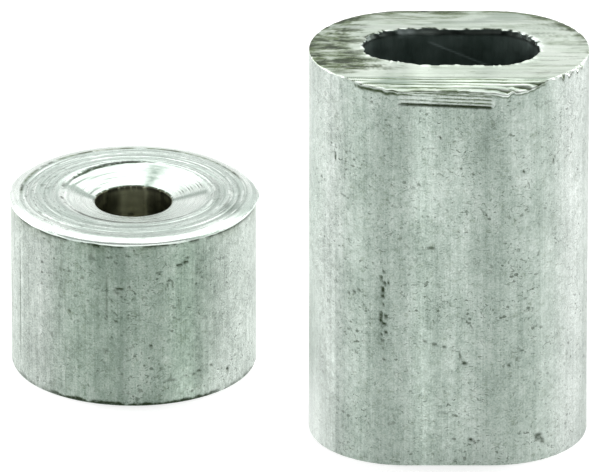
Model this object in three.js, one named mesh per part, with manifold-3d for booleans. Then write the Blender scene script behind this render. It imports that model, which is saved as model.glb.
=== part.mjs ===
// Crimp fittings for 1/8 inch (3.2 mm) wire rope, standing side by side on their sawn ends:
// an oval ferrule whose slot takes two legs of the rope, and a round stop that takes one.
// Millimetres, +Z up. The origin is on the surface they stand on, midway along and across the pair.
import * as THREE from "three";
import { mergeVertices } from "three/addons/utils/BufferGeometryUtils.js";
import Module from "manifold-3d";

// Driving dimensions of the oval ferrule.
const FERRULE_WIDTH = 12.6;
const FERRULE_THICKNESS = 8.8;
const FERRULE_LENGTH = 18.6;
const FERRULE_WALL = 2.3;
const FERRULE_EDGE_BREAK = 0.08;

// The torn front edge of the sawn end: a sloping break, and a shallow flat that the blade left below it.
const BREAK_SETBACK = 1.05;
const BREAK_DROP = 0.38;
const SCAR_DROP = 0.93;
const SCAR_DEPTH = 0.1;
const SCAR_HALF_WIDTH = 2.1;

// Driving dimensions of the round stop.
const STOP_DIAMETER = 11.2;
const STOP_HEIGHT = 8.2;
const STOP_BORE = 3.5;
const COUNTERSINK_DIAMETER = 7.2;
const COUNTERSINK_DEPTH = 0.45;
const RIM_WIDTH = 0.42;
const RIM_DROP = 0.16;
const RIM_LIP = 0.07;
const RIM_LIP_HEIGHT = 0.14;
const BASE_EDGE_BREAK = 0.1;

// Where the two pieces stand: from the ferrule's axis to the stop's.
const SPACING_X = 14.3;
const SPACING_Y = 7.76;

const ARC_SEGMENTS = 24;
const RIM_SEGMENTS = 4;
const TURN_SEGMENTS = 96;
const CUTTER_SIZE = 20;

const wasm = await Module();
wasm.setup();

function solidOf(geometry) {
  const bare = geometry.clone();
  bare.deleteAttribute("normal");
  bare.deleteAttribute("uv");
  const merged = mergeVertices(bare, 1e-4);
  return new wasm.Manifold(
    new wasm.Mesh({
      numProp: 3,
      vertProperties: merged.attributes.position.array,
      triVerts: new Uint32Array(merged.index.array),
    }),
  );
}

function geometryOf(solid) {
  const mesh = solid.getMesh();
  const geometry = new THREE.BufferGeometry();
  geometry.setAttribute("position", new THREE.BufferAttribute(mesh.vertProperties, 3));
  geometry.setIndex(new THREE.BufferAttribute(mesh.triVerts, 1));
  geometry.computeVertexNormals();
  return geometry;
}

// A flat-sided oval with half-round ends, traced anticlockwise.
function traceOval(path, width, thickness) {
  const radius = thickness / 2;
  const half = width / 2 - radius;
  path.moveTo(-half, -radius);
  path.lineTo(half, -radius);
  path.absarc(half, 0, radius, -Math.PI / 2, Math.PI / 2, false);
  path.lineTo(-half, radius);
  path.absarc(-half, 0, radius, Math.PI / 2, (3 * Math.PI) / 2, false);
  return path;
}

function ovalTube() {
  const section = traceOval(new THREE.Shape(), FERRULE_WIDTH, FERRULE_THICKNESS);
  const slotWidth = FERRULE_WIDTH - 2 * FERRULE_WALL;
  const slotThickness = FERRULE_THICKNESS - 2 * FERRULE_WALL;
  section.holes.push(traceOval(new THREE.Path(), slotWidth, slotThickness));
  const tube = new THREE.ExtrudeGeometry(section, {
    depth: FERRULE_LENGTH - 2 * FERRULE_EDGE_BREAK,
    curveSegments: ARC_SEGMENTS,
    bevelEnabled: true,
    bevelThickness: FERRULE_EDGE_BREAK,
    bevelSize: FERRULE_EDGE_BREAK,
    bevelOffset: -FERRULE_EDGE_BREAK,
    bevelSegments: 1,
  });
  return tube.translate(0, 0, FERRULE_EDGE_BREAK);
}

// A block that takes off everything above a plane sloping down to the front edge.
function breakCutter() {
  const slope = Math.atan2(BREAK_DROP, BREAK_SETBACK);
  const block = new THREE.BoxGeometry(CUTTER_SIZE, CUTTER_SIZE, CUTTER_SIZE);
  block.translate(0, 0, CUTTER_SIZE / 2);
  block.rotateX(slope);
  return block.translate(0, BREAK_SETBACK - FERRULE_THICKNESS / 2, FERRULE_LENGTH);
}

function scarCutter() {
  const block = new THREE.BoxGeometry(2 * SCAR_HALF_WIDTH, 2 * SCAR_DEPTH, 2 * SCAR_DROP);
  return block.translate(0, -FERRULE_THICKNESS / 2, FERRULE_LENGTH);
}

function ferruleGeometry() {
  const cut = solidOf(ovalTube()).subtract(solidOf(breakCutter())).subtract(solidOf(scarCutter()));
  return geometryOf(cut);
}

// The stop's profile, anticlockwise from the foot of the bore: radius across, height up.
function stopProfile() {
  const bore = STOP_BORE / 2;
  const side = STOP_DIAMETER / 2;
  const flat = side - RIM_WIDTH;
  const lip = side + RIM_LIP;
  const points = [
    new THREE.Vector2(bore, BASE_EDGE_BREAK),
    new THREE.Vector2(bore + BASE_EDGE_BREAK, 0),
    new THREE.Vector2(side - BASE_EDGE_BREAK, 0),
    new THREE.Vector2(side, BASE_EDGE_BREAK),
    new THREE.Vector2(side, STOP_HEIGHT - RIM_DROP - RIM_LIP_HEIGHT),
  ];
  for (let i = 0; i <= RIM_SEGMENTS; i += 1) {
    const turn = ((i / RIM_SEGMENTS) * Math.PI) / 2;
    const radius = flat + (lip - flat) * Math.cos(turn);
    points.push(new THREE.Vector2(radius, STOP_HEIGHT - RIM_DROP * (1 - Math.sin(turn))));
  }
  points.push(
    new THREE.Vector2(COUNTERSINK_DIAMETER / 2, STOP_HEIGHT),
    new THREE.Vector2(bore, STOP_HEIGHT - COUNTERSINK_DEPTH),
    new THREE.Vector2(bore, BASE_EDGE_BREAK),
  );
  return points;
}

function stopGeometry() {
  return new THREE.LatheGeometry(stopProfile(), TURN_SEGMENTS).rotateX(Math.PI / 2);
}

function aluminium(colour, roughness) {
  return new THREE.MeshStandardMaterial({ color: colour, roughness, metalness: 1 });
}

const stopReach = STOP_DIAMETER / 2 + RIM_LIP;
const leftEdge = -SPACING_X - stopReach;
const rightEdge = FERRULE_WIDTH / 2;
const frontEdge = -FERRULE_THICKNESS / 2;
const backEdge = SPACING_Y + stopReach;
const ferruleX = -(leftEdge + rightEdge) / 2;
const ferruleY = -(frontEdge + backEdge) / 2;

const ferrule = new THREE.Mesh(ferruleGeometry(), aluminium(0xb9c4bb, 0.5));
ferrule.name = "oval_ferrule";
ferrule.position.set(ferruleX, ferruleY, 0);

const stop = new THREE.Mesh(stopGeometry(), aluminium(0xb4c0b6, 0.45));
stop.name = "cable_stop";
stop.position.set(ferruleX - SPACING_X, ferruleY + SPACING_Y, 0);

const fittings = new THREE.Group();
fittings.add(ferrule, stop);

export default fittings;
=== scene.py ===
"""Looks of two loose aluminium crimp fittings for wire rope: an oval ferrule and a round stop.

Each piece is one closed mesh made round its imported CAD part: the drawn skin with its die lines and
pits, the sawn and torn end of the ferrule, and the turned, countersunk end of the stop.
Lengths are in millimetres until a mesh or a light is made, which is in metres.
"""

import math

import bpy
import numpy as np
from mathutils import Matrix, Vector


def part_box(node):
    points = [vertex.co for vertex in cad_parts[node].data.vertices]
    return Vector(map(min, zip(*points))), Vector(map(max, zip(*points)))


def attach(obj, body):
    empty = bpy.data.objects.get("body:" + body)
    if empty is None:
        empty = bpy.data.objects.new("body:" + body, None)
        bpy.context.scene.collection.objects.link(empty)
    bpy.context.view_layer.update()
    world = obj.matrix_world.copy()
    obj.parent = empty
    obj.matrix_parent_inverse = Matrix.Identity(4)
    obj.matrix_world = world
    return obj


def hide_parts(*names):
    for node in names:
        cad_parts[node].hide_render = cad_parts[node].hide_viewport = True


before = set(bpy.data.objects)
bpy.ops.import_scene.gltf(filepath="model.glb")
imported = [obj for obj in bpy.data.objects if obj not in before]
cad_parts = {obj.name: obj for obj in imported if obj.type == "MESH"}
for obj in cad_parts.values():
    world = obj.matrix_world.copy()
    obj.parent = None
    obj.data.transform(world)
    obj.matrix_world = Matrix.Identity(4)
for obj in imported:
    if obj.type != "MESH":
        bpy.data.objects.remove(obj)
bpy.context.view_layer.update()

MM = 0.001
TAU = 2 * math.pi

# Sizes taken from the frame, in millimetres.
FERRULE_LO, FERRULE_HI = (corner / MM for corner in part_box("oval_ferrule"))
STOP_LO, STOP_HI = (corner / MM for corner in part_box("cable_stop"))
FERRULE_AXIS = (FERRULE_LO + FERRULE_HI) / 2
STOP_AXIS = (STOP_LO + STOP_HI) / 2

FERRULE_TOP = FERRULE_HI.z
FERRULE_R = (FERRULE_HI.y - FERRULE_LO.y) / 2
FERRULE_HALF_FLAT = (FERRULE_HI.x - FERRULE_LO.x) / 2 - FERRULE_R
FERRULE_WALL = 2.3
SLOT_R = FERRULE_R - FERRULE_WALL
PERIMETER = 4 * FERRULE_HALF_FLAT + TAU * FERRULE_R
EDGE_BREAK = 0.08

RIM_LIP = 0.07
STOP_TOP = STOP_HI.z
STOP_R = (STOP_HI.x - STOP_LO.x) / 2 - RIM_LIP
RIM_WIDTH = 0.42
RIM_DROP = 0.16
RIM_STEPS = 10
BORE_R = 1.75
CONE_R = 3.6
CONE_DEPTH = 0.45
BASE_BREAK = 0.1


# ---------------- numbers and noise

# Cells of the noise lattice along a piece, before it repeats.
LATTICE_LENGTH = 512


def smooth(low, high, x):
    """0 below low, 1 above high, and an S-curve between them. low may be above high."""
    t = np.clip((x - low) / (high - low), 0, 1)
    return t * t * (3 - 2 * t)


def window(start, full, fading, gone, x):
    """1 from full to fading, and 0 before start and after gone."""
    return smooth(start, full, x) * smooth(gone, fading, x)


def bump(centre, width, x):
    """A bell of height 1 about centre."""
    return np.exp(-(((x - centre) / width) ** 2))


def about(angle, centre):
    """The angle measured from centre, between -pi and pi."""
    return (angle - centre + math.pi) % TAU - math.pi


def lobe(angle, centre, width):
    """A bell of height 1 about a direction."""
    return bump(0, width, about(angle, centre))


def bell_sum(x, table):
    """The sum of bells, each given by its centre, width and height."""
    return sum(height * bump(centre, width, x) for centre, width, height in table)


def lattice_noise(u, v, seed, wrap):
    """Smooth noise from 0 to 1 at lattice coordinates u, v. It repeats every wrap cells along u."""
    table = np.random.default_rng(seed).random((wrap, LATTICE_LENGTH))
    u0, v0 = np.floor(u).astype(int), np.floor(v).astype(int)
    fu, fv = smooth(0, 1, u - u0), smooth(0, 1, v - v0)
    ua, ub = u0 % wrap, (u0 + 1) % wrap
    va, vb = v0 % LATTICE_LENGTH, (v0 + 1) % LATTICE_LENGTH
    low = table[ua, va] * (1 - fu) + table[ub, va] * fu
    high = table[ua, vb] * (1 - fu) + table[ub, vb] * fu
    return low * (1 - fv) + high * fv


def noise(around, along, cells, cell_length, seed, octaves=1):
    """Noise on a closed band: around runs from 0 to 1 over so many cells, along is a length."""
    total, weight = 0, 0
    for octave in range(octaves):
        scale, share = 2 ** octave, 0.5 ** octave
        u, v = around * cells * scale, along * scale / cell_length
        total += share * lattice_noise(u, v, seed + octave, cells * scale)
        weight += share
    return total / weight


def steps(start, stop, first, last=None):
    """Values from start to stop, both included, whose steps go evenly from first to last."""
    last = last or first
    count = max(1, round(2 * abs(stop - start) / (first + last)))
    sizes = np.linspace(first, last, count)
    path = np.concatenate([[0], np.cumsum(sizes)])
    return start + (stop - start) * path / path[-1]


def stations(*runs):
    """Columns round a piece, from runs of start, stop and step."""
    return np.concatenate([steps(*run)[:-1] for run in runs])


def side_rows(out, strip, *run):
    """Rows of a profile up or down a side."""
    return [(out, z, strip) for z in steps(*run)]


def face_rows(height, strip, *run):
    """Rows of a profile in or out along a face."""
    return [(r, height, strip) for r in steps(*run)]


def marks(across, along, table):
    """Depth map, 0 to 1, of oblong marks: across, along, half length, half width, lean, strength."""
    total = np.zeros(np.broadcast(across, along).shape)
    for x, z, half_length, half_width, lean, strength in table:
        c, s = math.cos(lean), math.sin(lean)
        dx, dz = across - x, along - z
        a = (dx * c + dz * s) / half_length
        b = (dz * c - dx * s) / half_width
        total = np.maximum(total, strength * np.exp(-(a * a) ** 2 - (b * b) ** 2))
    return total


def scattered(seed, count, across, along, size, strength):
    """Random marks between two distances across and two along."""
    rng = np.random.default_rng(seed)
    table = []
    for _ in range(count):
        x, z = rng.uniform(*across), rng.uniform(*along)
        length = rng.uniform(*size)
        width = length * rng.uniform(0.2, 0.7)
        lean = rng.uniform(-1.2, 1.2)
        table.append((x, z, length, width, lean, rng.uniform(*strength)))
    return table


# ---------------- meshes

# The strips of a profile, in the order of a piece's materials.
STRIPS = ("skin", "end", "wall", "foot")
# Side of the square sheet that a piece is unwrapped on, and each strip's corner and scale there.
SHEET = 36.5
FERRULE_SHEET = {"skin": (0.5, 0.5, 1, 1), "end": (0.5, 19.9, 1.3, 1.3),
                 "wall": (18, 29.4, 0.45, 0.33), "foot": (18, 19.9, 1, 1)}
STOP_SHEET = {"skin": (0.5, 0.5, 1, 1), "end": (0.5, 10, 2.15, 2.15),
              "wall": (26, 21, 1.55 / STOP_R, 0.9), "foot": (26, 10, 0.85, 0.85)}


class Surface:
    """The grid of one piece while it is shaped: distance out, height, and the masks painted on it.

    Each row of the profile is (distance out, height, strip). around goes from 0 to 1 round the piece,
    and along is the distance from the middle of the front, positive to the right.
    """

    def __init__(self, profile, around, along):
        self.profile = profile
        self.around, self.along = around[None, :], along[None, :]
        out, height, strip = (np.array(values)[:, None] for values in zip(*profile))
        self.rho, self.z = out + 0 * self.along, height + 0 * self.along
        self.top = height.max()
        self.skin, self.end, self.wall = (1.0 * (strip == name) for name in STRIPS[:3])
        # The soil mask is dirt and also painted shadow, and brown is olive stains and partly painted
        # shadow.
        self.soil, self.brown, self.shine, self.torn, self.pale = (0 * self.rho for _ in range(5))
        # shine is bare metal and also painted highlights, pale is painted light at the sides, and the
        # band is painted light and shade as well as tone.
        self.band = np.ones_like(self.rho)

    def ripple(self, cells, seed, octaves=1):
        """Noise that changes only round the piece."""
        return noise(self.around, 0 * self.along, cells, 1, seed, octaves)

    def patches(self, low, high, cells, seed, octaves=1):
        """Patches round the piece where the ripple passes from low to high."""
        return smooth(low, high, self.ripple(cells, seed, octaves))

    def rings(self, cells, cell_length, seed, octaves=1):
        """Noise that changes round the piece and outward."""
        return noise(self.around, self.rho, cells, cell_length, seed, octaves)

    def masks(self):
        """The masks that the materials read. All but the band are kept between 0 and 1."""
        names = ("soil", "brown", "shine", "torn", "pale")
        return {**{name: np.clip(getattr(self, name), 0, 1) for name in names}, "band": self.band}


def unwrap(g, points, rolled, layout):
    """Sheet coordinates of every face's corners: the sides rolled out, the two ends laid flat."""
    rows, columns = points.shape[:2]
    corners = np.zeros((rows, columns, 4, 2))
    column = np.arange(columns)
    low = points[..., :2].min((0, 1))
    for row, (_, _, strip) in enumerate(g.profile):
        x, y, wide, high = layout[strip]
        for corner, (down, right) in enumerate(((0, 0), (1, 0), (1, 1), (0, 1))):
            at = (row + down) % rows
            if strip in ("skin", "wall"):
                place = np.stack([rolled[column + right], np.full(columns, g.profile[at][1])], -1)
            else:
                place = points[at, (column + right) % columns, :2] - low
            corners[row, :, corner] = (x, y) + place * (wide, high)
    return corners / SHEET


def piece_from_grid(name, surface, layout, axis, materials):
    """A closed piece from a grid: rows run along the profile and columns round the piece."""
    g, points, rolled = surface
    rows, columns = points.shape[:2]
    i, j = np.meshgrid(np.arange(rows), np.arange(columns), indexing="ij")
    i2, j2 = (i + 1) % rows, (j + 1) % columns
    quads = np.stack([i * columns + j, i2 * columns + j, i2 * columns + j2, i * columns + j2], -1)
    quads = quads.reshape(-1, 4)
    corners = unwrap(g, points, rolled, layout)
    a, b, c, d = (points.reshape(-1, 3)[quads[:, k]] for k in range(4))
    inside_out = np.sum(np.cross(c - a, d - b) * (a + b + c + d)) < 0
    if inside_out:
        quads, corners = quads[:, ::-1], corners[:, :, ::-1]
    mesh = bpy.data.meshes.new(name)
    mesh.from_pydata((points.reshape(-1, 3) * MM).tolist(), [], quads.tolist())
    mesh.uv_layers.new(name="OFBake").data.foreach_set("uv", corners.astype(np.float32).ravel())
    slots = np.repeat([STRIPS.index(row[2]) for row in g.profile], columns)
    mesh.polygons.foreach_set("material_index", slots.astype(np.int32))
    mesh.polygons.foreach_set("use_smooth", np.ones(rows * columns, bool))
    for mask, values in g.masks().items():
        attribute = mesh.attributes.new(mask, "FLOAT", "POINT")
        attribute.data.foreach_set("value", values.astype(np.float32).ravel())
    for material in materials:
        mesh.materials.append(material)
    mesh.update()
    piece = bpy.data.objects.new(name, mesh)
    piece.location = (axis.x * MM, axis.y * MM, 0)
    bpy.context.scene.collection.objects.link(piece)
    return piece


def weather_skin(g, pits, scratches, seed):
    """Shallow waves and die lines along the skin, then its pits and scratches with their dirt."""
    waves = noise(g.around, g.z, 12, 5.0, seed, 2) - 0.5
    die = noise(g.around, g.z, 150, 60.0, seed + 2, 2) - 0.5
    pits = g.skin * marks(g.along, g.z, pits)
    scratches = g.skin * marks(g.along, g.z, scratches)
    g.rho += g.skin * (0.02 * waves + 0.005 * die) - 0.05 * pits - 0.02 * scratches
    g.soil += smooth(0.1, 0.75, pits) + 0.85 * smooth(0.1, 0.7, scratches)


def pale_sides(g, start, full):
    """Painted light: the skin is less green at the sides, from a distance each way from the middle of
    the front.
    """
    away = np.abs(g.along)
    g.pale = g.skin * smooth(start, full, away) * smooth(13.5, 10.0, away)


# ---------------- the oval ferrule

# How far the torn lip hangs below the sawn end, by distance along the front from its middle.
LIP_HANG = ((-4.9, 0), (-4.3, 0.06), (-3.4, 0.14), (-2.95, 0.16), (-2.5, 0.25), (-1.9, 0.28),
            (-0.8, 0.26), (0.2, 0.24), (1.2, 0.3), (1.9, 0.38), (2.4, 0.47), (2.62, 0.42),
            (2.75, 0.3), (3.3, 0.36), (3.6, 0.27), (4.0, 0.17), (4.5, 0.05), (4.9, 0))
# How far the slot's mouth is pushed in, by the same distance.
MOUTH_PUSH = ((-12, -0.04), (-9.6, 0.1), (-8.7, 0.22), (-8, 0.12), (-6.2, 0.3), (-4.5, 0.5),
              (-2.6, 0.52), (-1.75, 0.42), (-1.35, 0.2), (-0.4, 0.14), (0.3, 0.22), (1.2, 0.12),
              (3, 0.1), (5.5, 0.0), (8, -0.06), (10, -0.04), (12, -0.02))
# Middle of the bite out of the mouth's back edge, and the ends (x, z) of the painted line of light in
# the slot.
SLOT_BITE = -16.8
SLOT_LIGHT_LINE = (-0.85, FERRULE_TOP - 0.6), (1.7, FERRULE_TOP - 1.7)
# Where the torn break starts, the thickness of its layers, and how far its front sags.
BREAK_Y = -(FERRULE_R - 1.05)
BREAK_LAYER = 0.21
BREAK_HANG = ((-4.9, 0), (-2.6, 0.2), (0.3, 0.19), (2.5, 0.3), (4.9, 0))
# The shallow flat under the lip, and the height below which the skin's rows stay where they are.
SCAR_LEFT, SCAR_RIGHT = -2.25, 1.88
SCAR_DEPTH = 0.07
LIP_SEAT = 16.9
# Width over which the noise on the sawn end runs once.
END_SPAN = 16.0
# Distance between columns behind and in front.
BACK_STEP, FRONT_STEP = 0.2, 0.077
# Edges of the two strips of painted highlight, left and right of the front, and where the left one
# ends behind.
HIGHLIGHT_LEFT, HIGHLIGHT_RIGHT = -5.5, 3.8
HIGHLIGHT_BEHIND = -9.8, -8.6

# Marks on the skin: distance along the front, height, half length, half width, lean, strength.
FERRULE_PITS = [
    (-2.95, 9.5, 0.07, 0.1, 0, 0.8), (-3.05, 9.2, 0.08, 0.1, 0, 0.9),
    (-2.9, 8.95, 0.07, 0.12, 0, 0.9), (-2.72, 9.0, 0.06, 0.12, 0, 0.7),
    (-3.0, 8.65, 0.1, 0.12, 0.3, 1), (-2.98, 8.35, 0.08, 0.09, 0, 0.9),
    (-2.96, 7.9, 0.06, 0.09, 0, 0.7), (-3.05, 7.42, 0.08, 0.11, 0, 1),
    (-2.85, 7.3, 0.08, 0.08, 0, 0.9), (-3.1, 7.15, 0.08, 0.1, 0, 0.9),
    (-2.92, 6.98, 0.12, 0.09, 0, 0.9), (-2.86, 6.55, 0.08, 0.12, 0, 0.9),
    (-3.05, 6.4, 0.07, 0.08, 0, 0.7), (-3.0, 6.1, 0.06, 0.08, 0, 0.7),
    (-2.98, 5.8, 0.06, 0.07, 0, 0.6), (-2.92, 5.2, 0.1, 0.06, 0, 0.5),
    (0.68, 5.1, 0.14, 0.07, -0.5, 1), (0.52, 5.4, 0.05, 0.25, 0.15, 0.6),
    (2.7, 4.9, 0.06, 0.08, 0, 0.7), (1.05, 1.28, 0.2, 0.06, -0.5, 0.9),
    (4.15, 1.2, 0.22, 0.2, 0, 0.6), (4.35, 1.0, 0.12, 0.16, 0, 0.5),
    (3.35, 14.4, 0.08, 0.07, 0, 0.9), (-0.42, 16.05, 0.09, 0.07, 0.5, 0.8),
    (-5.5, 14.6, 0.05, 0.22, 0, 0.8), (4.9, 14.6, 0.05, 0.25, -0.35, 0.6),
]
FERRULE_SCRATCHES = [
    (-0.3, 2.65, 0.8, 0.035, 0.14, 0.35), (-4.4, 8.3, 0.4, 0.04, 0.45, 0.8),
    (-0.6, 6.0, 0.9, 0.035, -0.3, 0.6), (0.9, 7.0, 0.3, 0.035, -0.9, 0.6),
    (1.6, 12.4, 0.35, 0.035, -0.8, 0.6), (-0.7, 10.7, 0.45, 0.035, -0.15, 0.6),
    (3.9, 11.6, 0.3, 0.035, 0.2, 0.5), (-1.4, 13.8, 0.4, 0.035, 0.5, 0.5),
]
# Painted light and shade in lengthwise bands, partly darker oxide: distance along the front, width,
# and how much lighter (or darker, if negative) the skin is.
FERRULE_BANDS = ((-3.0, 0.45, -0.12), (1.65, 0.7, -0.13), (-1.2, 0.5, 0.19), (-2.1, 0.3, -0.07),
                 (-4.3, 0.8, 0.06), (0.2, 1.2, 0.08))


def oval_normals(station):
    """The centre line's x and the outward normal's x and y at each station round the outside.

    Stations run from the middle of the back by way of the +X end.
    """
    flat, arc = FERRULE_HALF_FLAT, math.pi * FERRULE_R
    turn = np.clip((station - flat) / FERRULE_R, 0, math.pi)
    turn += np.clip((station - 3 * flat - arc) / FERRULE_R, 0, math.pi)
    centre = np.minimum(station, flat) - np.clip(station - flat - arc, 0, 2 * flat)
    centre += np.clip(station - 3 * flat - 2 * arc, 0, flat)
    return centre, np.sin(turn), np.cos(turn)


def ferrule_profile():
    """Rows of the profile as (distance from the centre line, height, strip name)."""
    top, outer, inner = FERRULE_TOP, FERRULE_R, SLOT_R
    rows = side_rows(inner, "wall", EDGE_BREAK, top - 1.9, 0.9, 0.2)
    rows += side_rows(inner, "wall", top - 1.85, top - 0.1, 0.05)
    rows += [(inner, top - 0.05, "wall"), (inner + 0.02, top - 0.015, "end")]
    rows += [(inner + 0.06, top, "end")]
    rows += face_rows(top, "end", inner + 0.1, 3.2, 0.08, 0.07)
    rows += face_rows(top, "end", 3.23, outer - 0.07, 0.031)
    rows += [(outer - 0.04, top - 0.004, "end"), (outer - 0.016, top - 0.02, "end")]
    rows += [(outer, top - 0.05, "skin")]
    rows += side_rows(outer, "skin", top - 0.08, 17.5, 0.036)
    rows += side_rows(outer, "skin", 17.46, LIP_SEAT, 0.04, 0.13)
    rows += side_rows(outer, "skin", LIP_SEAT - 0.13, 0.1, 0.134)
    rows += [(outer - 0.012, 0.05, "skin"), (outer - 0.04, 0.015, "foot"), (outer - 0.09, 0, "foot")]
    rows += face_rows(0, "foot", outer - 0.14, inner + 0.1, 0.17)
    rows += [(inner + 0.03, 0.02, "foot")]
    return rows


def hang_lip(g):
    """Closes up the side's top rows below the torn edge and returns how far the edge hangs."""
    hang = np.interp(g.along, *zip(*LIP_HANG))
    ragged = (g.ripple(110, 3, 2) - 0.5) * 0.1 * smooth(0.01, 0.12, hang)
    notched = window(4.6, 5.4, 7.6, 8.6, g.along)
    teeth = g.patches(0.55, 0.75, 200, 5) * 0.16 * notched
    nicks = np.maximum(g.ripple(300, 6) - 0.66, 0) * 0.12
    lip = np.maximum(hang + ragged, 0) + teeth + nicks
    g.z -= g.skin * np.maximum(g.z - LIP_SEAT, 0) * lip / (g.top - LIP_SEAT)
    below = g.skin * bump(g.top - lip - 0.12, 0.1, g.z)
    g.soil += 0.6 * below * notched * g.patches(0.5, 0.75, 160, 7)
    return lip


def push_mouth(g, rear, dark_side):
    """Pushes the slot's mouth in at the front and tears it at the back, with its burrs and dirt, and
    painted shade down the slot's back and end walls below the mouth.
    """
    push = np.interp(g.along, *zip(*MOUTH_PUSH), period=PERIMETER)
    fine = g.ripple(210, 11, 2) - 0.5
    coarse = g.ripple(70, 13, 2) - 0.5
    bite = 0.2 * bump(SLOT_BITE, 0.3, g.along)
    torn = fine * (0.04 + 0.1 * rear) + coarse * (0.05 + 0.06 * rear) - bite
    on_end = g.end * smooth(3.3, SLOT_R, g.rho)
    near = on_end + g.wall * smooth(g.top - 0.9, g.top - 0.1, g.z)
    close = on_end + g.wall * smooth(g.top - 0.9 + 0.65 * rear, g.top - 0.06, g.z)
    out = g.rho.copy()
    g.rho -= push * near + torn * close
    notches = rear * g.patches(0.5, 0.62, 170, 18, 2)
    edge = g.end * smooth(SLOT_R + 0.35, SLOT_R, out)
    edge += g.wall * smooth(g.top - 0.2, g.top - 0.06, g.z)
    g.rho += 0.09 * notches * edge
    # Painted shade down the slot's back and end walls below the mouth.
    under_edge = smooth(g.top - 0.35 - 0.3 * (dark_side - rear), g.top - 0.2, g.z)
    g.soil += g.wall * 0.9 * dark_side * under_edge
    burr = g.ripple(120, 17, 2)
    mouth = g.end * bump(SLOT_R + 0.08, 0.07, out)
    g.z += 0.04 * mouth * smooth(0.4, 0.75, burr) * (1 - 0.7 * rear)

    crescent = window(8.2, 9.2, 12.6, 13.7, g.along)
    specks = window(-8.2, -9, -13, -14.5, g.along) * smooth(0.5, 0.62, burr)
    thin = (0.15 + 0.25 * rear) * smooth(0.45, 0.7, burr)
    g.shine += mouth * np.clip(specks + thin + 0.5 * crescent, 0, 1)
    g.shine += g.end * bump(SLOT_R + 0.13, 0.12, out) * crescent
    dark = g.end * bump(SLOT_R + 0.05, 0.09, out) * np.clip(rear + specks, 0, 1)
    g.soil += dark * np.clip(notches + 5 * bite, 0, 1)


def mark_slot(g, rear):
    """A painted patch of reflected light high on the slot's back wall, one long slanting painted line
    of light, and the wall darker towards the right end.
    """
    back_wall = g.wall * rear
    patch = back_wall * bump(-2.05, 0.6, g.x) * smooth(g.top - 0.5, g.top - 0.3, g.z)
    g.shine += 0.5 * patch * g.patches(0.25, 0.55, 100, 19, 2)
    g.soil *= 1 - 0.8 * patch
    (x0, z0), (x1, z1) = SLOT_LIGHT_LINE
    line = z0 + (z1 - z0) * (g.x - x0) / (x1 - x0)
    on_line = window(x0 - 0.1, x0 + 0.1, x1 - 0.1, x1 + 0.1, g.x)
    g.shine += 1.1 * back_wall * on_line * bump(line, 0.035, g.z)
    g.band -= 0.45 * g.wall * bump(9.6, 1.9, g.along)


def cut_scar(g):
    """The shallow flat under the lip, with brown grooves across it and a dirty ledge at its foot."""
    foot_line = g.top - 0.98 - 0.045 * g.along
    sides = window(SCAR_LEFT - 0.12, SCAR_LEFT + 0.12, SCAR_RIGHT - 0.1, SCAR_RIGHT + 0.05, g.along)
    scar = g.skin * sides * smooth(foot_line - 0.03, foot_line + 0.02, g.z)
    rise = g.z - foot_line + 0.02 * (noise(g.around, g.z, 30, 0.6, 41, 2) - 0.5)
    right = smooth(-1.2, -0.2, g.along)
    wide = smooth(0.6, 0.95, np.cos(TAU * rise / 0.215))
    fine = smooth(0.3, 0.9, np.cos(TAU * rise / 0.17))
    groove = wide * (1 - right) * 0.9 + fine * right
    ledge = g.skin * sides * bump(foot_line, 0.045, g.z)
    dirt = 0.3 + 0.7 * smooth(SCAR_LEFT - 0.2, -1.0, g.along)
    g.rho -= scar * (SCAR_DEPTH + 0.02 * groove) + 0.04 * ledge
    g.brown += scar * (groove * (0.7 + 0.3 * right) + 0.06 * right) + ledge * dirt
    g.soil += scar * 0.12 * groove + 0.7 * ledge * dirt
    g.shine += 0.5 * scar * (1 - groove)
    corner = g.skin * bump(SCAR_RIGHT + 0.05, 0.06, g.along)
    g.shine += 0.8 * corner * bump(foot_line + 0.25, 0.18, g.z)


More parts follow.
